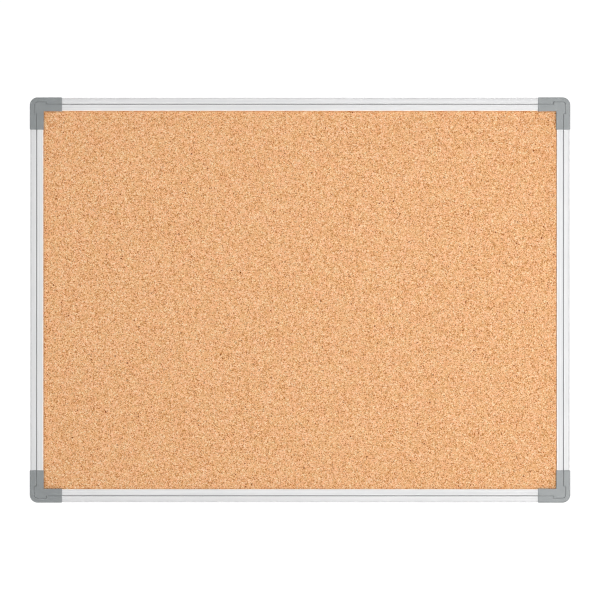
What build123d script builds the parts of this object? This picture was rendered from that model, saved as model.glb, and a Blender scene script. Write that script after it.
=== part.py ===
from build123d import *
import os

# Cork bulletin board in a slim aluminium frame with moulded corners. Millimetres.
# +Z is up, +X runs to the right and the cork faces -Y. The origin is the centre of the wall plane
# that the back of the board lies on. A depth is a distance out from that plane, towards the room.

# Overall size
board_width = 600
board_height = 450
board_depth = 16

# Extruded rails, a hollow chamber along the outside and an open channel for the panel
rail_inset = 0.5
rail_back = 0.4
rail_front = 15.4
rail_width = 14.5
rail_wall = 1.2
chamber_width = 5.4
rear_lip_reach = 13.0
groove_width = 0.8
groove_depth = 0.7
outer_edge_radius = 0.8
inner_edge_radius = 0.5
small_edge_radius = 0.3
groove_edge_radius = 0.15

# Panel: cork on a softboard core on a thin backing, held in the channel of the rails
backing_thickness = 0.8
core_thickness = 8.0
cork_thickness = 2.6
channel_play = 0.3

# Corner bodies. Distances u and v run inwards from the two outer edges of a corner
leg_length = 36
leg_width = 15.5
corner_radius = 9
inside_corner_radius = 0.6
body_edge_radius = 1.2
rear_edge_radius = 0.5
seam_edge_radius = 0.25
leg_end_radius = 0.6
slot_play = 0.3

# Hollows moulded into the corner bodies from the rear
outer_skin = 1.8
inner_skin = 1.5
corner_core_end = 18.3
leg_core_depth = 13.5
rib_thickness = 1.2

# Tongues of the corner bodies, inside the chambers of the rails
tongue_reach = 26
tongue_play = 0.1
tongue_lead = 1.2

# Wall screw hole under each cover
wall_hole_from_edge = 10.5
wall_hole_radius = 2.25
head_pocket_radius = 4.5
head_pocket_depth = 4.5
boss_radius = 4.4

# Covers over the wall screws
cover_thickness = 1.5
cover_gap = 0.25
cover_line = 7.7
cover_step = 18.4
cover_outer_line = 5.2
cover_edge_radius = 0.3
grip_peg_radius = 1.0
grip_peg_length = 4.0
grip_peg_place = (15.8, 6.5)
locating_peg_radius = 1.25
locating_peg_length = 1.2
locating_peg_place = (31.0, 12.0)
peg_play = 0.1
peg_end_room = 0.5

# Self-tapping screws from the rear, through a rail into a tongue
screw_from_leg_end = 12
screw_head_radius = 2.6
screw_head_height = 1.1
screw_radius = 1.5
screw_length = 8.0
screw_tip_length = 1.6
screw_tip_radius = 0.4
screw_hole_radius = 1.6
pilot_extra = 1.0
countersink_angle = 90
drive_length = 3.0
drive_width = 0.6
drive_depth = 0.8

# Depths and places that follow from the sizes above
panel_back = rail_back + rail_wall
cork_back = panel_back + backing_thickness + core_thickness
panel_front = cork_back + cork_thickness
channel_edge = rail_wall + chamber_width + rail_wall
slot_edge = rail_inset + channel_edge
panel_edge = slot_edge + channel_play
chamber_front = rail_front - rail_wall
chamber_middle = rail_wall + chamber_width / 2
cover_seat = board_depth - cover_thickness
cover_corner_radius = corner_radius - cover_outer_line
head_pocket_floor = cover_seat - head_pocket_depth
corner_core_depth = head_pocket_floor - inner_skin
core_line = slot_edge - inner_skin
core_height = core_line - outer_skin
tongue_inner = rail_inset + rail_wall + tongue_play
tongue_width = chamber_width - 2 * tongue_play
screw_place = (leg_length + screw_from_leg_end, rail_inset + chamber_middle)

# The panel's corners are cut off diagonally, behind the corner bodies, to clear the screw bosses
panel_corner_sum = 29.5
panel_corner_cut = panel_corner_sum - 2 * panel_edge

toward_room = Vector(0, -1, 0)
past_the_part = 5


def wall_plane(depth=0.0):
    """The plane parallel to the wall at this depth, with its normal towards the room."""
    return Plane.XZ.offset(depth)


def corner_point(u, v):
    """Sketch coordinates of a point u and v inside the top left corner."""
    return (u - board_width / 2, board_height / 2 - v)


def swapped(place):
    """The same place on the other leg of a corner."""
    return (place[1], place[0])


def both_legs(place):
    """Sketch points of one place on each leg of the top left corner."""
    return [corner_point(*place), corner_point(*swapped(place))]


def closed_face(rows):
    """A flat face inside a closed outline of (x, y, corner radius) rows."""
    points = [(x, y) for x, y, _ in rows]
    radii = [radius for _, _, radius in rows]
    with BuildSketch() as face:
        with BuildLine():
            FilletPolyline(points, radius=radii, close=True)
        make_face()
    return face.sketch


def corner_face(rows):
    """A flat face from (u, v, corner radius) rows round the top left corner."""
    return closed_face([(*corner_point(u, v), radius) for u, v, radius in rows])


def make_rail(length, span, inward):
    """One rail, as long as given, on the side of the board that faces inward across the span."""
    section_plane = Plane(
        origin=inward * (rail_inset - span / 2),
        x_dir=inward,
        z_dir=inward.cross(toward_room),
    )
    flange_edge = rail_width - rail_wall
    groove_near = chamber_middle + chamber_width / 2 + rail_wall / 2 - groove_width / 2
    groove_far = groove_near + groove_width
    groove_floor = rail_front - groove_depth
    profile = [
        (0, rail_back, small_edge_radius),
        (rear_lip_reach, rail_back, small_edge_radius),
        (rear_lip_reach, panel_back, small_edge_radius),
        (channel_edge, panel_back, 0),
        (channel_edge, chamber_front, 0),
        (flange_edge, chamber_front, 0),
        (flange_edge, panel_front, 0),
        (rail_width, panel_front, small_edge_radius),
        (rail_width, rail_front, inner_edge_radius),
        (groove_far, rail_front, groove_edge_radius),
        (groove_far, groove_floor, 0),
        (groove_near, groove_floor, 0),
        (groove_near, rail_front, groove_edge_radius),
        (0, rail_front, outer_edge_radius),
    ]
    section = closed_face(profile)
    with BuildPart() as rail:
        with BuildSketch(section_plane):
            add(section)
            with Locations((chamber_middle, (panel_back + chamber_front) / 2)):
                Rectangle(chamber_width, chamber_front - panel_back, mode=Mode.SUBTRACT)
        extrude(amount=length / 2, both=True)
        hole_spread = length / 2 - screw_from_leg_end
        for along in (-hole_spread, hole_spread):
            rear_point = section_plane.from_local_coords((chamber_middle, rail_back, along))
            with Locations(Plane(origin=rear_point, z_dir=-toward_room)):
                CounterSinkHole(
                    radius=screw_hole_radius,
                    counter_sink_radius=screw_head_radius,
                    depth=rail_wall + small_edge_radius,
                    counter_sink_angle=countersink_angle,
                )
    return rail


def make_panel_layer(back, thickness):
    """One layer of the panel, with its corners cut off behind the corner bodies."""
    with BuildPart() as layer:
        with BuildSketch(wall_plane(back)) as outline:
            Rectangle(board_width - 2 * panel_edge, board_height - 2 * panel_edge)
            chamfer(outline.vertices(), length=panel_corner_cut)
        extrude(amount=thickness)
    return layer


def cover_outline(gap=0.0, beyond=0.0):
    """Rows for the cover's outline, grown by the gap outwards and by beyond at its open sides."""
    line = cover_line - gap
    outer = cover_outer_line - gap
    step = cover_step + gap
    end = leg_length + beyond
    inside = leg_width + beyond
    inside_radius = inside_corner_radius if beyond == 0 else 0
    return [
        (end, line, 0),
        (step, line, 0),
        (step, outer, 0),
        (outer, outer, cover_corner_radius + gap),
        (outer, step, 0),
        (line, step, 0),
        (line, end, 0),
        (inside, end, 0),
        (inside, inside, inside_radius),
        (end, inside, 0),
    ]


def outer_edges(face):
    """The edges of a top left corner's front or rear face that lie on the outside of the board."""
    edges = face.edges()
    arc = edges.filter_by(GeomType.CIRCLE).sort_by(SortBy.RADIUS)[-1]
    return ShapeList([edges.sort_by(Axis.X)[0], arc, edges.sort_by(Axis.Z)[-1]])


def leg_end_edges(face):
    """The edges of a top left piece's front face at the ends of its two legs."""
    edges = face.edges()
    return ShapeList([edges.sort_by(Axis.X)[-1], edges.sort_by(Axis.Z)[0]])


def make_corner_body():
    """The top left corner body, which joins two rails and takes a wall screw."""
    leg_outline = [
        (0, 0, corner_radius),
        (leg_length, 0, 0),
        (leg_length, leg_width, 0),
        (leg_width, leg_width, inside_corner_radius),
        (leg_width, leg_length, 0),
        (0, leg_length, 0),
    ]
    slot_diagonal = panel_corner_sum - slot_play
    panel_slot = [
        (slot_diagonal - slot_edge, slot_edge, 0),
        (leg_length + past_the_part, slot_edge, 0),
        (leg_length + past_the_part, leg_length + past_the_part, 0),
        (slot_edge, leg_length + past_the_part, 0),
        (slot_edge, slot_diagonal - slot_edge, 0),
    ]
    corner_core = [
        (outer_skin, outer_skin, corner_radius - outer_skin),
        (corner_core_end, outer_skin, 0),
        (corner_core_end, core_line, 0),
        (core_line, corner_core_end, 0),
        (outer_skin, corner_core_end, 0),
    ]
    leg_core_start = corner_core_end + rib_thickness
    leg_core_end = leg_length - outer_skin
    leg_core_length = leg_core_end - leg_core_start
    leg_core_place = ((leg_core_start + leg_core_end) / 2, (outer_skin + core_line) / 2)
    boss = corner_point(wall_hole_from_edge, wall_hole_from_edge)
    leg_face = corner_face(leg_outline)
    seat_face = corner_face(cover_outline(gap=cover_gap, beyond=past_the_part))
    slot_face = corner_face(panel_slot)
    core_face = corner_face(corner_core)

    with BuildPart() as body:
        with BuildSketch(wall_plane()):
            add(leg_face)
        extrude(amount=board_depth)

        # seat for the cover, open at the leg ends and on the cork side
        with BuildSketch(wall_plane(cover_seat)):
            add(seat_face)
        extrude(amount=past_the_part, mode=Mode.SUBTRACT)

        # rounded edges: leg ends, seam, then the outside at the front and the rear
        front_face = body.faces().sort_by(Axis.Y)[0]
        fillet(leg_end_edges(front_face), radius=leg_end_radius)
        front_face = body.faces().sort_by(Axis.Y)[0]
        seam = front_face.edges() - outer_edges(front_face) - leg_end_edges(front_face)
        fillet(seam, radius=seam_edge_radius)
        front_face = body.faces().sort_by(Axis.Y)[0]
        fillet(outer_edges(front_face), radius=body_edge_radius)
        rear_face = body.faces().sort_by(Axis.Y)[-1]
        fillet(outer_edges(rear_face), radius=rear_edge_radius)

        # slot that takes the corner of the panel
        with BuildSketch(wall_plane(panel_back)):
            add(slot_face)
        extrude(amount=panel_front - panel_back, mode=Mode.SUBTRACT)

        # hollows moulded in from the rear, with ribs between them
        with BuildSketch(wall_plane()):
            add(core_face)
            with Locations(boss):
                Circle(boss_radius, mode=Mode.SUBTRACT)
                Rectangle(rib_thickness, leg_length, mode=Mode.SUBTRACT)
                Rectangle(leg_length, rib_thickness, mode=Mode.SUBTRACT)
        extrude(amount=corner_core_depth, mode=Mode.SUBTRACT)
        with BuildSketch(wall_plane()):
            with Locations(corner_point(*leg_core_place)):
                Rectangle(leg_core_length, core_height)
                Rectangle(rib_thickness, core_height, mode=Mode.SUBTRACT)
            with Locations(corner_point(*swapped(leg_core_place))):
                Rectangle(core_height, leg_core_length)
                Rectangle(core_height, rib_thickness, mode=Mode.SUBTRACT)
        extrude(amount=leg_core_depth, mode=Mode.SUBTRACT)

        # holes for the wall screw and for the pegs of the cover
        with Locations(wall_plane(cover_seat)):
            with Locations(boss):
                CounterBoreHole(
                    radius=wall_hole_radius,
                    counter_bore_radius=head_pocket_radius,
                    counter_bore_depth=head_pocket_depth,
                    depth=cover_seat + past_the_part,
                )
            with Locations(both_legs(grip_peg_place)):
                Hole(radius=grip_peg_radius + peg_play, depth=grip_peg_length + peg_end_room)
            with Locations(both_legs(locating_peg_place)):
                Hole(radius=locating_peg_radius + peg_play, depth=cover_seat - panel_front)

        # tongues that reach into the rails, with a tapered lead at their ends
        tongue_middle = tongue_inner + tongue_width / 2
        tongue_depth = chamber_front - panel_back - 2 * tongue_play
        for along_top in (True, False):
            end = (leg_length, tongue_middle) if along_top else (tongue_middle, leg_length)
            x, z = corner_point(*end)
            end_plane = Plane(
                origin=(x, -(panel_back + chamber_front) / 2, z),
                x_dir=-toward_room,
                z_dir=(1, 0, 0) if along_top else (0, 0, -1),
            )
            with BuildSketch(end_plane):
                Rectangle(tongue_depth, tongue_width)
            extrude(amount=tongue_reach)
            tongue_tip = body.faces().sort_by(Axis(end_plane.origin, end_plane.z_dir))[-1]
            chamfer(tongue_tip.edges(), length=tongue_lead)
        pilot_mouths = [
            Plane(origin=(x, -panel_back, z), z_dir=-toward_room)
            for x, z in both_legs(screw_place)
        ]
        with Locations(pilot_mouths):
            Hole(radius=screw_radius, depth=screw_length + pilot_extra)
    return body


def make_cover():
    """The top left cover, with two grip pegs and two short locating pegs on its back."""
    plate_face = corner_face(cover_outline())
    with BuildPart() as cover:
        with BuildSketch(wall_plane(cover_seat)):
            add(plate_face)
        extrude(amount=cover_thickness)
        front_face = cover.faces().sort_by(Axis.Y)[0]
        fillet(leg_end_edges(front_face), radius=leg_end_radius)
        front_face = cover.faces().sort_by(Axis.Y)[0]
        fillet(front_face.edges() - leg_end_edges(front_face), radius=cover_edge_radius)
        with BuildSketch(wall_plane(cover_seat)):
            with Locations(both_legs(grip_peg_place)):
                Circle(grip_peg_radius)
        extrude(amount=-grip_peg_length)
        with BuildSketch(wall_plane(cover_seat)):
            with Locations(both_legs(locating_peg_place)):
                Circle(locating_peg_radius)
        extrude(amount=-locating_peg_length)
    return cover


def make_rail_screws():
    """The two countersunk screws at the top left corner, one for each rail end."""
    from_bottom = (Align.CENTER, Align.CENTER, Align.MIN)
    seats = [
        Plane(origin=(x, -rail_back, z), z_dir=toward_room)
        for x, z in both_legs(screw_place)
    ]
    with BuildPart() as screws:
        with Locations(seats):
            Cone(screw_head_radius, screw_radius, screw_head_height, align=from_bottom)
            Cylinder(screw_radius, screw_length - screw_tip_length, align=from_bottom)
            with Locations((0, 0, screw_length - screw_tip_length)):
                Cone(screw_radius, screw_tip_radius, screw_tip_length, align=from_bottom)
            Box(drive_length, drive_width, drive_depth, align=from_bottom, mode=Mode.SUBTRACT)
            Box(drive_width, drive_length, drive_depth, align=from_bottom, mode=Mode.SUBTRACT)
    return screws


def at_corner(master, on_right, on_bottom):
    """A copy of a top left piece, mirrored to another corner."""
    with BuildPart() as piece:
        add(master.part)
        if on_right:
            mirror(about=Plane.YZ, mode=Mode.REPLACE)
        if on_bottom:
            mirror(about=Plane.XY, mode=Mode.REPLACE)
    return piece


def save(name, piece):
    """Label a finished piece and write it as one STEP file."""
    piece.part.label = name
    export_step(piece.part, f"parts/{name}.step")


os.makedirs("parts", exist_ok=True)

long_rail = board_width - 2 * leg_length
short_rail = board_height - 2 * leg_length
save("top_rail", make_rail(long_rail, board_height, Vector(0, 0, -1)))
save("bottom_rail", make_rail(long_rail, board_height, Vector(0, 0, 1)))
save("left_rail", make_rail(short_rail, board_width, Vector(1, 0, 0)))
save("right_rail", make_rail(short_rail, board_width, Vector(-1, 0, 0)))

save("backing_sheet", make_panel_layer(panel_back, backing_thickness))
save("core_board", make_panel_layer(panel_back + backing_thickness, core_thickness))
save("cork_sheet", make_panel_layer(cork_back, cork_thickness))

corner_pieces = {
    "corner": make_corner_body(),
    "cover": make_cover(),
    "rail_screws": make_rail_screws(),
}
for row, on_bottom in (("top", False), ("bottom", True)):
    for column, on_right in (("left", False), ("right", True)):
        for kind, master in corner_pieces.items():
            save(f"{kind}_{row}_{column}", at_corner(master, on_right, on_bottom))
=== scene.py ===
import math
import random
import bmesh
import bpy
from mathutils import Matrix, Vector
from mathutils.geometry import delaunay_2d_cdt


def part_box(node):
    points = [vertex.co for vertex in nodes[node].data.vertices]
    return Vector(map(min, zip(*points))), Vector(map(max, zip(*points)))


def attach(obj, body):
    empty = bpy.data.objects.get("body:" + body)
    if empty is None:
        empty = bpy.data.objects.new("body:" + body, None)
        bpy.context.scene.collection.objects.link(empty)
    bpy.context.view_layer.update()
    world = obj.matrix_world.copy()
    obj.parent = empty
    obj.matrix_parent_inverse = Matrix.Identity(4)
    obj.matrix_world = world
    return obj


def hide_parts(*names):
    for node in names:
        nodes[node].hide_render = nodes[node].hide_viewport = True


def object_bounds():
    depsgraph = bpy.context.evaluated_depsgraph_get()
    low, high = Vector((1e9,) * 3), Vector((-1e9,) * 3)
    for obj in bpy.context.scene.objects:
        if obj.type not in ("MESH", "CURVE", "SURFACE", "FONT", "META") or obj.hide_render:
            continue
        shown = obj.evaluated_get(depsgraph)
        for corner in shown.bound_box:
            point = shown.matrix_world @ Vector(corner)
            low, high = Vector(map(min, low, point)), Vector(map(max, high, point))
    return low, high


# Cork bulletin board: materials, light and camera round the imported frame.
# Metres, +Z up. The cork faces -Y, the wall plane is y = 0.

MM = 0.001

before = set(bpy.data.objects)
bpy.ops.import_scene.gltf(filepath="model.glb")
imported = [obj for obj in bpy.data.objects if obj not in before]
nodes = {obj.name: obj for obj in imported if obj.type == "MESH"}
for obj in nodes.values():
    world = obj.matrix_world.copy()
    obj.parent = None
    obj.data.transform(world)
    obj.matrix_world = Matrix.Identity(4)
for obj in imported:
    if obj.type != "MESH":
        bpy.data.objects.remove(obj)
cad_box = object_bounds()

CORNERS = ("top_left", "top_right", "bottom_left", "bottom_right")

# Camera: square on to the board, far away. The width is at the front of the frame
VIEW_WIDTH = 0.6658
CAMERA_DISTANCE = 4.0
CAMERA_REACH = 100
SENSOR = 36.0

# Light: a soft key from the front right, weaker ones behind, above and at both sides, and even
# light all round
KEY = {"place": (0.95, -2.5, -0.12), "size": 0.6, "power": 36.2}
BACK = {"place": (-1.0, 2.4, 0.8), "size": 1.2, "power": 24.0}
TOP = {"place": (0.0, 0.1, 2.3), "size": 1.6, "power": 36.0}
SIDE = {"size": 1.2, "power": 8.0}
RIGHT_SIDE_PLACE = (2.2, -0.3, 0.25)
LEFT_SIDE_PLACE = (-2.2, -0.3, 0.25)
AMBIENT = 0.115
BACKGROUND = 1.04

# How wide the pixel filter is, in pixels
PIXEL_FILTER = 1.2

# Floor: its glow grows between two distances from the board's middle, so that it ends in the white
# of the background
FLOOR_HEIGHT = -0.6
FLOOR_HALF_SIZE = 6.0
FLOOR_MOTTLE = 0.5
GLOW_DISTANCES = (1.2, 3.0)
GLOW_STRENGTHS = (0.2, 0.95)

# Pits in the cork. A size is half the pit's length. The skew makes most of them small, and a rim's
# points lie between the least reach and 1 times the size
PIT_SEED = 5
PIT_COUNT = 1100
PIT_SPACING = 2.4 * MM
PIT_SMALLEST = 0.35 * MM
PIT_LARGEST = 1.35 * MM
PIT_SIZE_SKEW = 3
PIT_STRETCH = (0.5, 0.9)
PIT_LEAST_REACH = 0.75
PIT_DEPTH = (0.25 * MM, 0.6 * MM)
PIT_SIDES = 8
PIT_FLOOR_SHARE = 0.6

# Cork face: how near a vertex of the CAD sheet is to its front, and how the outline and the rims
# are meshed
FACE_TOLERANCE = 0.1 * MM
MESH_INSIDE_OUTLINE = 1
MESH_MERGE = 1e-7

# Cork pattern: two sizes of granule, the random numbers at which the larger ones begin, and the
# waves in their outlines
GRANULE_LARGE = 1.0 * MM
GRANULE_SMALL = 0.65 * MM
LARGE_BEGIN = (0.40, 0.42)
OUTLINE_WAVE = 0.8 * MM
OUTLINE_WAVE_HEIGHT = 0.35 * MM
# How far from a granule's edge its joint is dark and sunk, in granules, and how strong the dark is
JOINT_DARK = 0.08
JOINT_SUNK = 0.16
JOINT_STRENGTH = 0.25
# Grit and how strong its colour is, patches of one tone, and the height of the relief
GRIT = 0.3 * MM
GRIT_STRENGTH = 0.30
PATCH = 14 * MM
CORK_RELIEF = 0.10 * MM
# The depths below the face over which its colour turns into the painted shade of the pits
PIT_SHADE_DEPTHS = (0.05 * MM, 0.15 * MM)

# Painted shadow on the cork beside the frame: it thins out between two distances from the rails'
# inner edges, which are positive under the rails. It lies a little to the right and down, so that
# more of it shows at the left and at the top
FRAME_SHADOW_DISTANCES = (-1.4 * MM, 0.1 * MM)
FRAME_SHADOW_RAGGED_SIZE = 1.2 * MM
FRAME_SHADOW_RAGGED_DEPTH = 0.5 * MM
FRAME_SHADOW_SHIFT = 0.5 * MM
FRAME_SHADOW_STRENGTH = 0.35

# From part.py: how far the rails' outer faces lie inside the board's box, how far a corner's leg
# reaches in past the rails' inner edge, and the line along the middle of each rail's face
RAIL_INSET = 0.5 * MM
LEG_OVERHANG = 0.5 * MM
LINE_INSET = 7.7 * MM
LINE_HALF_WIDTH = 0.4 * MM
LINE_DEPTH = 0.7 * MM

# Aluminium: fine lines and wider bands, which the scale draws out along the rail
DRAWN_SCALE = 0.004
DRAW_LINES = 0.22 * MM
DRAW_BANDS = 1.3 * MM
# The painted shade in the groove: the distances from the line's middle over which it ends, the
# depths over which it begins, and how far past the line's depth it may go
GROOVE_SHADE_ENDS = (0.9 * LINE_HALF_WIDTH, 1.2 * LINE_HALF_WIDTH)
GROOVE_SHADE_DEPTHS = (0.12 * MM, 0.35 * MM)
GROOVE_SHADE_PLAY = 0.1 * MM
# Painted light on a rail's front: the depths over which the front ends, the distances in from its
# outer edge over which the painted dark band and the painted highlight on the edge begin, and the
# distances out from its inner edge over which the painted highlight there ends
FRONT_DEPTHS = (0.8 * MM, 1.6 * MM)
OUTER_PAINTED_SHADE = (2.1 * MM, 1.3 * MM)
OUTER_PAINTED_HIGHLIGHT = (1.0 * MM, 0.5 * MM)
INNER_PAINTED_HIGHLIGHT = (0.5 * MM, 1.1 * MM)

# Screw heads: the depths below their faces at which the painted shade in the cross slot is full and
# just begins
SLOT_SHADE_DEPTHS = (0.5 * MM, 0.2 * MM)

# The parts of a noise's range, 0 to 1, over which a material turns from one look to the other:
# nearly all of it for a soft change, and less for a clearer one
SOFT = (0.3, 0.7)
CLEAR = (0.35, 0.65)


def srgb(red, green, blue):
    """A linear colour from the 0 to 255 values that a screen shows."""
    def linear(value):
        c = value / 255
        return c / 12.92 if c <= 0.04045 else ((c + 0.055) / 1.055) ** 2.4
    return (linear(red), linear(green), linear(blue), 1.0)


class Material:
    """A node material put together by short calls. An input is a value or another node's socket."""

    def __init__(self, name):
        self.material = bpy.data.materials.new(name)
        self.material.use_nodes = True
        self.tree = self.material.node_tree
        self.tree.nodes.clear()
        self.shader = self.node("ShaderNodeBsdfPrincipled")
        output = self.node("ShaderNodeOutputMaterial")
        self.tree.links.new(self.shader.outputs["BSDF"], output.inputs["Surface"])

    def node(self, kind, inputs=None, **settings):
        """A new node with its inputs and settings."""
        made = self.tree.nodes.new(kind)
        for key, value in settings.items():
            setattr(made, key, value)
        for key, value in (inputs or {}).items():
            self.feed(made.inputs[key], value)
        return made

    def feed(self, socket, value):
        """Links an input to a socket, or sets its value."""
        if isinstance(value, bpy.types.NodeSocket):
            self.tree.links.new(value, socket)
        else:
            socket.default_value = value

    def set(self, **inputs):
        """Sets inputs of the surface shader, whose names are given with _ for each space."""
        for key, value in inputs.items():
            self.feed(self.shader.inputs[key.replace("_", " ")], value)

    def place(self, scale=None):
        """The position on the object in metres, multiplied by scale if there is one."""
        coordinates = self.node("ShaderNodeTexCoord").outputs["Object"]
        if scale is None:
            return coordinates
        return self.node("ShaderNodeMapping", {"Vector": coordinates, "Scale": scale}).outputs[0]

    def math(self, operation, first, second=0.0):
        """Arithmetic on one or two numbers."""
        return self.node("ShaderNodeMath", {0: first, 1: second}, operation=operation).outputs[0]

    def noise(self, place, size, detail=2.0, roughness=0.5, output="Fac"):
        """Noise with features of about this size in metres, from 0 to 1."""
        inputs = {"Vector": place, "Scale": 1 / size, "Detail": detail, "Roughness": roughness}
        return self.node("ShaderNodeTexNoise", inputs).outputs[output]

    def grains(self, place, size, feature="F1"):
        """A Voronoi node whose cells are about this size in metres."""
        inputs = {"Vector": place, "Scale": 1 / size}
        return self.node("ShaderNodeTexVoronoi", inputs, voronoi_dimensions="3D", feature=feature)

    def warp(self, place, size, amount):
        """The place moved about by noise, to make outlines irregular."""
        noise = self.noise(place, size, output="Color")
        shift = self.node(
            "ShaderNodeVectorMath", {0: noise, 1: (0.5, 0.5, 0.5)}, operation="SUBTRACT"
        ).outputs[0]
        inputs = {0: shift, 1: (2 * amount,) * 3, 2: place}
        return self.node("ShaderNodeVectorMath", inputs, operation="MULTIPLY_ADD").outputs[0]

    def rounded(self, low, high):
        """1 on the rounded edges, whose surface faces between two axes, and 0 on the flat faces."""
        normal = self.node("ShaderNodeTexCoord").outputs["Normal"]
        flat = self.node("ShaderNodeVectorMath", {0: normal}, operation="ABSOLUTE").outputs[0]
        sides = [self.axis(flat, name) for name in "XYZ"]
        most = self.math("MAXIMUM", self.math("MAXIMUM", sides[0], sides[1]), sides[2])
        return self.span(most, low, high, 1.0, 0.0)

    def channel(self, colour, name):
        """One channel of a random colour, as a random number for each grain."""
        return self.node("ShaderNodeSeparateColor", {"Color": colour}).outputs[name]

    def axis(self, place, name):
        """One coordinate of a place."""
        return self.node("ShaderNodeSeparateXYZ", {"Vector": place}).outputs[name]

    def span(self, value, low, high, to_low=0.0, to_high=1.0):
        """Maps value from low..high smoothly to to_low..to_high, and holds it at the ends."""
        inputs = {
            "Value": value,
            "From Min": low,
            "From Max": high,
            "To Min": to_low,
            "To Max": to_high,
        }
        made = self.node("ShaderNodeMapRange", inputs, interpolation_type="SMOOTHSTEP")
        return made.outputs[0]

    def ramp(self, value, stops):
        """Colours between (position, colour) stops."""
        made = self.node("ShaderNodeValToRGB", {"Fac": value})
        elements = made.color_ramp.elements
        while len(elements) < len(stops):
            elements.new(0.5)
        for element, (position, colour) in zip(elements, stops):
            element.position = position
            element.color = colour
        return made.outputs["Color"]

    def mix(self, share, first, second, blend="MIX"):
        """The first colour turned into the second by share."""
        made = self.node("ShaderNodeMix", {0: share}, data_type="RGBA", blend_type=blend)
        inputs = {s.name: s for s in made.inputs if s.type == "RGBA"}
        self.feed(inputs["A"], first)
        self.feed(inputs["B"], second)
        return [s for s in made.outputs if s.type == "RGBA"][0]

    def tinge(self, colour, other, value, low, high, share=1.0):
        """The colour turned into the other by up to share, as value goes from low to high."""
        return self.mix(self.span(value, low, high, 0.0, share), colour, other)

    def bump(self, height, distance, strength):
        """The surface normal with this relief."""
        inputs = {"Height": height, "Distance": distance, "Strength": strength}
        return self.node("ShaderNodeBump", inputs).outputs["Normal"]


def shadow_beside_frame(m, place):
    """1 on the cork right beside the rails and corners, where shadow is painted, and 0 further in.
    """
    ragged = m.math("MULTIPLY", m.noise(place, FRAME_SHADOW_RAGGED_SIZE), FRAME_SHADOW_RAGGED_DEPTH)
    x = m.math("ABSOLUTE", m.math("SUBTRACT", m.axis(place, "X"), FRAME_SHADOW_SHIFT))
    z = m.math("ABSOLUTE", m.math("ADD", m.axis(place, "Z"), FRAME_SHADOW_SHIFT))
    past_side = m.math("SUBTRACT", x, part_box("right_rail")[0].x)
    past_top = m.math("SUBTRACT", z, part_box("top_rail")[0].z)
    leg_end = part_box("cover_top_right")[0]
    past_leg_end = m.math("SUBTRACT", x, leg_end.x)
    past_leg_top = m.math("SUBTRACT", z, leg_end.z)
    across_leg = m.math("MINIMUM", m.math("ADD", past_top, LEG_OVERHANG), past_leg_end)
    upright_leg = m.math("MINIMUM", m.math("ADD", past_side, LEG_OVERHANG), past_leg_top)
    rails = m.math("MAXIMUM", past_side, past_top)
    legs = m.math("MAXIMUM", across_leg, upright_leg)
    nearest = m.math("ADD", m.math("MAXIMUM", rails, legs), ragged)
    return m.span(nearest, *FRAME_SHADOW_DISTANCES)


def make_cork(face):
    """Sanded cork: packed granules with thin dark joints, and painted dark brown shade below the
    level of its face.
    """
    m = Material("cork")
    place = m.place()
    warped = m.warp(place, OUTLINE_WAVE, OUTLINE_WAVE_HEIGHT)
    large = m.grains(warped, GRANULE_LARGE)
    small = m.grains(warped, GRANULE_SMALL)
    is_large = m.span(m.channel(large.outputs["Color"], "Red"), *LARGE_BEGIN)
    tone = m.mix(is_large, small.outputs["Color"], large.outputs["Color"])
    colour = m.ramp(m.channel(tone, "Green"), [
        (0.00, srgb(165, 88, 22)),
        (0.15, srgb(209, 142, 80)),
        (0.40, srgb(238, 181, 129)),
        (0.75, srgb(254, 201, 155)),
        (1.00, srgb(255, 235, 197)),
    ])
    grit = m.noise(place, GRIT, detail=3)
    colour = m.tinge(colour, srgb(214, 150, 97), grit, *CLEAR, GRIT_STRENGTH)
    joint = m.grains(warped, GRANULE_SMALL, feature="DISTANCE_TO_EDGE").outputs["Distance"]
    in_joint = m.span(joint, 0.0, JOINT_DARK, JOINT_STRENGTH, 0.0)
    colour = m.mix(in_joint, colour, srgb(168, 90, 28))
    patch = m.span(m.noise(place, PATCH, detail=3), *CLEAR)
    tint = m.mix(patch, (0.976, 0.988, 0.954, 1.0), (0.990, 0.971, 0.988, 1.0))
    colour = m.mix(1.0, colour, tint, blend="MULTIPLY")
    depth = m.math("SUBTRACT", m.axis(place, "Y"), face)
    # painted shade: dark brown inside the pits, below the level of the face
    colour = m.tinge(colour, srgb(132, 60, 4), depth, *PIT_SHADE_DEPTHS)
    # painted shadow of the frame on the cork, more of it at the left and the top
    frame_shadow = m.math("MULTIPLY", shadow_beside_frame(m, place), FRAME_SHADOW_STRENGTH)
    colour = m.mix(frame_shadow, colour, srgb(112, 70, 40))
    relief = m.math("ADD", m.span(joint, 0.0, JOINT_SUNK), m.math("MULTIPLY", grit, 0.5))
    m.set(
        Base_Color=colour,
        Roughness=m.span(grit, *SOFT, 0.74, 0.88),
        Specular_IOR_Level=0.05,
        Normal=m.bump(relief, CORK_RELIEF, 0.6),
    )
    return m.material


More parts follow.
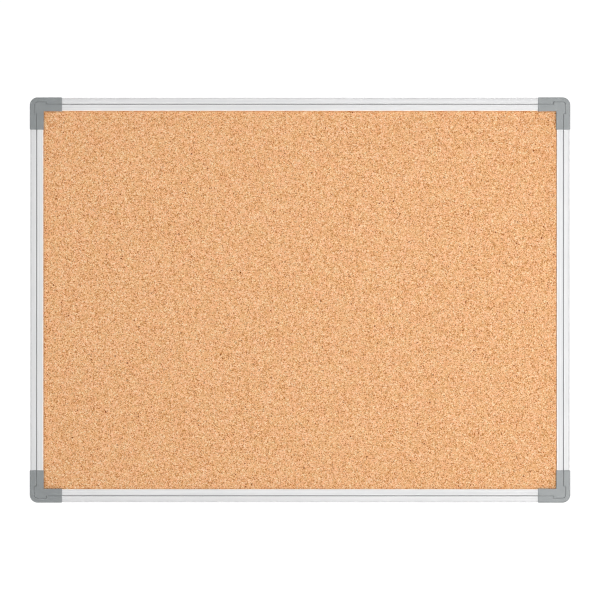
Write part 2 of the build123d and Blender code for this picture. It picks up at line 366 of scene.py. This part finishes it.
def pit_rims(rng):
    """Rims of the small pits that sanding opens in the cork: loops of (x, z), kept well apart."""
    reach_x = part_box("right_rail")[0].x - PIT_LARGEST
    reach_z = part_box("top_rail")[0].z - PIT_LARGEST
    centres = []
    while len(centres) < PIT_COUNT:
        x = rng.uniform(-reach_x, reach_x)
        z = rng.uniform(-reach_z, reach_z)
        if all((x - a) ** 2 + (z - b) ** 2 > PIT_SPACING ** 2 for a, b in centres):
            centres.append((x, z))
    rims = []
    for x, z in centres:
        size = PIT_SMALLEST + (PIT_LARGEST - PIT_SMALLEST) * rng.random() ** PIT_SIZE_SKEW
        stretch = rng.uniform(*PIT_STRETCH)
        lean = rng.uniform(0, math.pi)
        rim = []
        for step in range(PIT_SIDES):
            turn = 2 * math.pi * step / PIT_SIDES
            reach = size * rng.uniform(PIT_LEAST_REACH, 1.0)
            along = reach * math.cos(turn)
            aside = reach * stretch * math.sin(turn)
            rim.append((
                x + along * math.cos(lean) - aside * math.sin(lean),
                z + along * math.sin(lean) + aside * math.cos(lean),
            ))
        rims.append(rim)
    return rims


def in_turn(items):
    """Each item of a loop with the one after it."""
    return list(zip(items, items[1:] + items[:1]))


def make_cork_face():
    """The cork sheet with its pits, in the place of the plain CAD sheet."""
    rng = random.Random(PIT_SEED)
    sheet = nodes["cork_sheet"].data.vertices
    front, back = (corner.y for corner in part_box("cork_sheet"))
    outline = {(v.co.x, v.co.z) for v in sheet if abs(v.co.y - front) < FACE_TOLERANCE}
    outline = sorted(outline, key=lambda point: math.atan2(point[1], point[0]))
    points = list(outline)
    edges = in_turn(list(range(len(outline))))
    owner = [None] * len(outline)
    for number, rim in enumerate(pit_rims(rng)):
        edges += in_turn(list(range(len(points), len(points) + PIT_SIDES)))
        points += rim
        owner += [number] * PIT_SIDES
    flat, _, faces, sources, _, _ = delaunay_2d_cdt(
        [Vector(point) for point in points], edges, [], MESH_INSIDE_OUTLINE, MESH_MERGE
    )
    owner = [owner[source[0]] for source in sources]

    # The flat face, which leaves out the triangles inside a rim
    shape = bmesh.new()
    verts = [shape.verts.new((point.x, front, point.y)) for point in flat]
    for face in faces:
        pits = {owner[i] for i in face}
        if len(pits) > 1 or None in pits:
            shape.faces.new([verts[i] for i in face])

    # The pits' walls and floors
    rings = {}
    for vert, number in zip(verts, owner):
        if number is not None:
            rings.setdefault(number, []).append(vert)
    for ring in rings.values():
        centre = sum((v.co for v in ring), Vector()) / len(ring)
        ring.sort(key=lambda v: math.atan2(v.co.z - centre.z, v.co.x - centre.x))
        down = Vector((0, rng.uniform(*PIT_DEPTH), 0))
        floor = [shape.verts.new(centre.lerp(v.co, PIT_FLOOR_SHARE) + down) for v in ring]
        shape.faces.new(floor)
        for (rim_a, rim_b), (floor_a, floor_b) in zip(in_turn(ring), in_turn(floor)):
            shape.faces.new([rim_a, rim_b, floor_b, floor_a])

    # The sheet's edges and back
    rear = [shape.verts.new((x, back, z)) for x, z in outline]
    shape.faces.new(rear)
    border = verts[:len(outline)]
    for (border_a, border_b), (rear_a, rear_b) in zip(in_turn(border), in_turn(rear)):
        shape.faces.new([border_a, border_b, rear_b, rear_a])

    bmesh.ops.recalc_face_normals(shape, faces=shape.faces)
    mesh = bpy.data.meshes.new("cork_face")
    shape.to_mesh(mesh)
    shape.free()
    mesh.materials.append(make_cork(front))
    piece = bpy.data.objects.new("cork_face", mesh)
    bpy.context.scene.collection.objects.link(piece)
    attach(piece, "board")
    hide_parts("cork_sheet")


def make_aluminium(name, along, across, half_span):
    """Satin anodised aluminium with the fine draw lines of an extrusion, painted shade in its
    groove.

    A rail runs along one axis, and half_span is half the board's size across it."""
    m = Material(name)
    place = m.place()
    drawn = m.place(tuple(DRAWN_SCALE if axis == along else 1.0 for axis in "XYZ"))
    lines = m.noise(drawn, DRAW_LINES, detail=3, roughness=0.6)
    bands = m.noise(drawn, DRAW_BANDS, detail=1)
    cloud = m.noise(place, 60 * MM, detail=1)
    grain = m.noise(place, 0.18 * MM, detail=1)
    colour = m.tinge(srgb(232, 232, 233), srgb(239, 239, 239), lines, *SOFT)
    colour = m.tinge(colour, srgb(221, 221, 222), bands, *CLEAR, 0.5)
    colour = m.tinge(colour, srgb(227, 228, 228), cloud, *CLEAR, 0.3)

    outward = m.math("ABSOLUTE", m.axis(place, across))
    depth = m.math("SUBTRACT", m.axis(place, "Y"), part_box("top_rail")[0].y)
    off_line = m.math("ABSOLUTE", m.math("SUBTRACT", outward, half_span - LINE_INSET))
    at_line = m.span(off_line, *GROOVE_SHADE_ENDS, 1.0, 0.0)
    below = m.span(depth, *GROOVE_SHADE_DEPTHS)
    in_line = m.math("LESS_THAN", depth, LINE_DEPTH + GROOVE_SHADE_PLAY)
    groove = m.math("MULTIPLY", m.math("MULTIPLY", at_line, below), in_line)
    # painted shade in the groove
    colour = m.mix(groove, colour, srgb(140, 140, 141))

    outer_edge = half_span - RAIL_INSET
    inner_edge = outer_edge - (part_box("top_rail")[1].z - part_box("top_rail")[0].z)
    # patches in which the painted dark band and the painted inner highlight are weaker
    painted_light_patches = m.span(m.noise(place, 4 * MM, detail=3), 0.3, 0.6, 0.55, 1.0)
    at_front = m.span(depth, *FRONT_DEPTHS, 1.0, 0.0)
    painted_dark_band = m.span(outward, *(outer_edge - distance for distance in OUTER_PAINTED_SHADE))
    outer = m.span(outward, *(outer_edge - distance for distance in OUTER_PAINTED_HIGHLIGHT))
    inner = m.span(outward, *(inner_edge + distance for distance in INNER_PAINTED_HIGHLIGHT), 1.0, 0.0)
    # painted shade: a darker band just inside the outer edge
    colour = m.mix(m.math("MULTIPLY", painted_dark_band, painted_light_patches), colour, srgb(215, 215, 216))
    # painted highlight on the rounded outer edge
    colour = m.mix(m.math("MULTIPLY", outer, at_front), colour, srgb(234, 234, 234))
    # painted warm highlight along the inner edge, a painted reflection of the cork
    colour = m.mix(m.math("MULTIPLY", inner, painted_light_patches), colour, srgb(250, 247, 243))
    height = m.math("ADD", lines, m.math("MULTIPLY", grain, 0.5))
    m.set(
        Base_Color=colour,
        Metallic=0.8,
        Roughness=m.span(lines, *SOFT, 0.74, 0.84),
        Normal=m.bump(height, 0.010 * MM, 0.6),
    )
    return m.material


def make_corner_plastic():
    """Grey moulded plastic with a fine spark-eroded texture, glossier on its rounded edges, with
    painted shade there.
    """
    m = Material("corner_plastic")
    place = m.place()
    grain = m.noise(place, 0.28 * MM, detail=2, roughness=0.6)
    flow = m.noise(m.warp(place, 8 * MM, 2 * MM), 12 * MM, detail=2)
    # the rounded edges, in patches: glossier there, and darkened by painted shade
    edge_polish_and_shade = m.math("MULTIPLY", m.rounded(0.80, 0.97), m.span(flow, 0.3, 0.6, 0.5, 1.0))
    colour = m.tinge(srgb(137, 141, 142), srgb(142, 146, 147), flow, *SOFT)
    colour = m.tinge(colour, srgb(133, 137, 138), grain, *CLEAR, 0.5)
    # painted shade on the rounded edges
    colour = m.mix(m.math("MULTIPLY", edge_polish_and_shade, 0.35), colour, srgb(112, 116, 118))
    rough = m.span(grain, *SOFT, 0.36, 0.44)
    m.set(
        Base_Color=colour,
        Roughness=m.math("SUBTRACT", rough, m.math("MULTIPLY", edge_polish_and_shade, 0.08)),
        Normal=m.bump(grain, 0.03 * MM, 0.6),
    )
    return m.material


def make_softboard():
    """Pressed fibre board: coarse felted fibres."""
    m = Material("softboard")
    place = m.place()
    fibres = m.noise(m.warp(place, 2 * MM, 1 * MM), 0.6 * MM, detail=4, roughness=0.65)
    clumps = m.noise(place, 6 * MM, detail=3)
    colour = m.ramp(fibres, [
        (0.30, srgb(116, 88, 60)),
        (0.50, srgb(158, 126, 90)),
        (0.70, srgb(188, 158, 120)),
    ])
    colour = m.tinge(colour, srgb(140, 108, 74), clumps, *CLEAR, 0.3)
    m.set(
        Base_Color=colour,
        Roughness=m.span(fibres, *SOFT, 0.85, 0.98),
        Normal=m.bump(fibres, 0.25 * MM, 0.7),
    )
    return m.material


def make_backing():
    """Kraft paperboard: long paper fibres, flecks and faint press marks."""
    m = Material("backing")
    long_fibres = m.warp(m.place((0.18, 1, 1)), 3 * MM, 1.2 * MM)
    fibre = m.noise(long_fibres, 0.5 * MM, detail=4, roughness=0.7)
    cloud = m.noise(m.place(), 35 * MM, detail=4, roughness=0.6)
    press = m.noise(m.place((1, 1, 0.02)), 5 * MM, detail=2)
    flecks = m.grains(m.warp(m.place((0.45, 1, 1)), 1.5 * MM, 1.0 * MM), 3.4 * MM)
    has_fleck = m.span(m.channel(flecks.outputs["Color"], "Red"), 0.90, 0.92)
    in_fleck = m.span(flecks.outputs["Distance"], 0.08, 0.2, 1.0, 0.0)
    is_fleck = m.math("MULTIPLY", has_fleck, in_fleck)
    colour = m.ramp(fibre, [
        (0.32, srgb(164, 132, 96)),
        (0.50, srgb(184, 152, 114)),
        (0.68, srgb(200, 170, 132)),
    ])
    colour = m.tinge(colour, srgb(176, 146, 110), cloud, *SOFT, 0.35)
    colour = m.tinge(colour, srgb(150, 120, 86), press, 0.4, 0.6, 0.12)
    colour = m.mix(m.math("MULTIPLY", is_fleck, 0.6), colour, srgb(108, 78, 50))
    m.set(
        Base_Color=colour,
        Roughness=m.span(fibre, *SOFT, 0.72, 0.88),
        Normal=m.bump(fibre, 0.05 * MM, 0.7),
    )
    return m.material


def make_screw_steel():
    """Zinc plated steel, with a faint warm and blue passivation tint, turning marks, and painted
    shade in the cross slot.
    """
    m = Material("screw_steel")
    place = m.place()
    tint = m.noise(place, 2.5 * MM, detail=2)
    marks = m.noise(place, 0.15 * MM, detail=2)
    colour = m.ramp(tint, [
        (0.35, srgb(198, 201, 208)),
        (0.50, srgb(212, 212, 210)),
        (0.65, srgb(216, 210, 196)),
    ])
    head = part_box("rail_screws_top_left")[1].y
    # painted shade in the cross slots of the heads
    slot = m.span(m.axis(place, "Y"), *(head - depth for depth in SLOT_SHADE_DEPTHS), 1.0, 0.0)
    colour = m.mix(m.math("MULTIPLY", slot, 0.8), colour, srgb(58, 56, 54))
    m.set(
        Base_Color=colour,
        Roughness=m.span(marks, *SOFT, 0.24, 0.42),
        Metallic=1.0,
        Normal=m.bump(marks, 0.012 * MM, 0.6),
    )
    return m.material


def make_floor_material():
    """Matt white, turning into the white of the background far away."""
    m = Material("floor")
    far = m.node("ShaderNodeVectorMath", {0: m.place()}, operation="LENGTH").outputs["Value"]
    mottle = m.noise(m.place(), FLOOR_MOTTLE, detail=1)
    m.set(
        Base_Color=m.tinge(srgb(236, 236, 236), srgb(240, 240, 240), mottle, *SOFT),
        Emission_Color=(1.0, 1.0, 1.0, 1.0),
        Emission_Strength=m.span(far, *GLOW_DISTANCES, *GLOW_STRENGTHS),
        Roughness=0.9,
    )
    return m.material


def dress(material, *names):
    """Gives CAD nodes a material."""
    for name in names:
        for slot in nodes[name].material_slots:
            slot.link = "OBJECT"
            slot.material = material


def corner_names(kind):
    """The names of a kind of node that there is at each corner."""
    return [f"{kind}_{corner}" for corner in CORNERS]


def dress_nodes():
    """Gives every CAD node but the cork its material."""
    half_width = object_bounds()[1][0]
    half_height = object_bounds()[1][2]
    dress(make_aluminium("aluminium_across", "X", "Z", half_height), "top_rail", "bottom_rail")
    dress(make_aluminium("aluminium_upright", "Z", "X", half_width), "left_rail", "right_rail")
    dress(make_corner_plastic(), *corner_names("corner"), *corner_names("cover"))
    dress(make_softboard(), "core_board")
    dress(make_backing(), "backing_sheet")
    dress(make_screw_steel(), *corner_names("rail_screws"))


def make_camera():
    """A long lens square on to the middle of the board."""
    data = bpy.data.cameras.new("camera")
    data.sensor_width = SENSOR
    data.lens = SENSOR * CAMERA_DISTANCE / VIEW_WIDTH
    data.clip_end = CAMERA_REACH
    camera = bpy.data.objects.new("camera", data)
    bpy.context.scene.collection.objects.link(camera)
    camera.location = (0, cad_box[0][1] - CAMERA_DISTANCE, 0)
    camera.rotation_euler = (math.radians(90), 0, 0)
    bpy.context.scene.camera = camera


def make_area_light(name, place, size, power):
    """A square light that faces the middle of the board."""
    data = bpy.data.lights.new(name, "AREA")
    data.shape = "SQUARE"
    data.size = size
    data.energy = power
    light = bpy.data.objects.new(name, data)
    bpy.context.scene.collection.objects.link(light)
    light.location = place
    light.rotation_euler = (-Vector(place)).to_track_quat("-Z", "Y").to_euler()


def make_world():
    """Even soft light from all round, and white where the camera sees past the object."""
    world = bpy.data.worlds.new("studio")
    bpy.context.scene.world = world
    world.use_nodes = True
    tree = world.node_tree
    tree.nodes.clear()
    path = tree.nodes.new("ShaderNodeLightPath")
    strength = tree.nodes.new("ShaderNodeMix")
    strength.inputs["A"].default_value = AMBIENT
    strength.inputs["B"].default_value = BACKGROUND
    background = tree.nodes.new("ShaderNodeBackground")
    background.inputs["Color"].default_value = (1, 1, 1, 1)
    output = tree.nodes.new("ShaderNodeOutputWorld")
    tree.links.new(path.outputs["Is Camera Ray"], strength.inputs["Factor"])
    tree.links.new(strength.outputs["Result"], background.inputs["Strength"])
    tree.links.new(background.outputs["Background"], output.inputs["Surface"])


def make_floor():
    """A wide pale floor below the board."""
    mesh = bpy.data.meshes.new("floor")
    half = FLOOR_HALF_SIZE
    corners = [(-half, -half, 0), (half, -half, 0), (half, half, 0), (-half, half, 0)]
    mesh.from_pydata(corners, [], [(0, 1, 2, 3)])
    floor = bpy.data.objects.new("floor", mesh)
    floor.location = (0, 0, FLOOR_HEIGHT)
    bpy.context.scene.collection.objects.link(floor)
    mesh.materials.append(make_floor_material())


make_cork_face()
dress_nodes()

scene = bpy.context.scene
scene.view_settings.view_transform = "Standard"
scene.cycles.denoising_prefilter = "NONE"
scene.cycles.filter_width = PIXEL_FILTER
make_camera()
make_world()
make_area_light("key", **KEY)
make_area_light("back", **BACK)
make_area_light("top", **TOP)
make_area_light("right_side", RIGHT_SIDE_PLACE, **SIDE)
make_area_light("left_side", LEFT_SIDE_PLACE, **SIDE)
make_floor()
